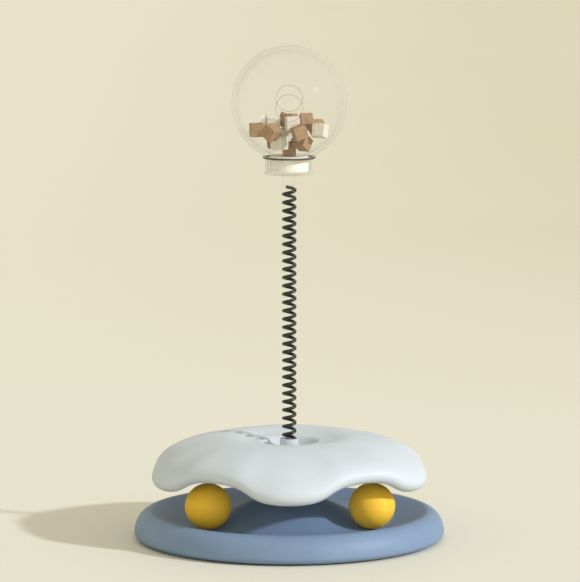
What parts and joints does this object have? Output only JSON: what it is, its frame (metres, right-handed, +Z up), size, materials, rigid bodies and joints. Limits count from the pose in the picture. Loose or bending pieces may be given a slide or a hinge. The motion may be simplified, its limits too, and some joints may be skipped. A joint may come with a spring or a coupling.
{
  "type": "cat treat dispenser toy",
  "caption": "Cat toy with a ball-track tray under a scalloped cover, and a clear treat globe with round treat holes that sways on a coil spring.",
  "frame": {"origin": "on the floor under the spring, at the middle of the round tray", "axes": "+Z up along the spring, -Y towards the front with the treat hole, +X to the right"},
  "size_m": [0.24, 0.24, 0.3826],
  "materials": {
    "tray_blue": "satin",
    "cover_pale": "satin",
    "ball_yellow": "satin",
    "spring_black": "black coated steel wire",
    "clear_plastic": "clear, polished",
    "liner_cream": "milky, satin",
    "seal_rubber": "matte",
    "foot_rubber": "matte",
    "screw_steel": "plain",
    "nut_white": "satin",
    "treat_brown": "dry, porous",
    "treat_pale": "dry, porous"
  },
  "bodies": {
    "base": {"tray": "tray_blue", "bottom_plate": "tray_blue", "plate_screws": "screw_steel", "rubber_feet": "foot_rubber", "cover": "cover_pale", "spring_socket": "cover_pale", "lock_nut": "nut_white"},
    "left_ball": {"ball_left": "ball_yellow"},
    "right_ball": {"ball_right": "ball_yellow"},
    "spring_middle": {"spring": "spring_black"},
    "globe_holder": {"globe_cap": "clear_plastic", "cap_liner": "liner_cream", "seal_ring": "seal_rubber"},
    "treat_globe": {"globe": "clear_plastic", "brown_treats": "treat_brown", "pale_treats": "treat_pale"}
  },
  "joints": [
    {"name": "left_ball_orbit", "type": "hinge", "parent": "base", "child": "left_ball", "pos_m": [0, 0, 0.0311], "axis": [0, 0, 1], "continuous": true},
    {"name": "right_ball_orbit", "type": "hinge", "parent": "left_ball", "child": "right_ball", "pos_m": [0, 0, 0.0311], "axis": [0, 0, 1], "range_deg": [-92, 208]},
    {"name": "side_sway", "type": "hinge", "parent": "base", "child": "spring_middle", "pos_m": [0, 0, 0.126], "axis": [0, 1, 0], "range_deg": [-35, 35], "stiffness_Nm_per_rad": 0.8, "deforming": ["spring"]},
    {"name": "front_nod", "type": "hinge", "parent": "spring_middle", "child": "globe_holder", "pos_m": [0, 0, 0.225], "axis": [1, 0, 0], "range_deg": [-35, 35], "stiffness_Nm_per_rad": 0.5, "deforming": ["spring"]},
    {"name": "globe_lift", "type": "slide", "parent": "globe_holder", "child": "treat_globe", "axis": [0, 0, 1], "range_m": [0, 0.03]}
  ]
}
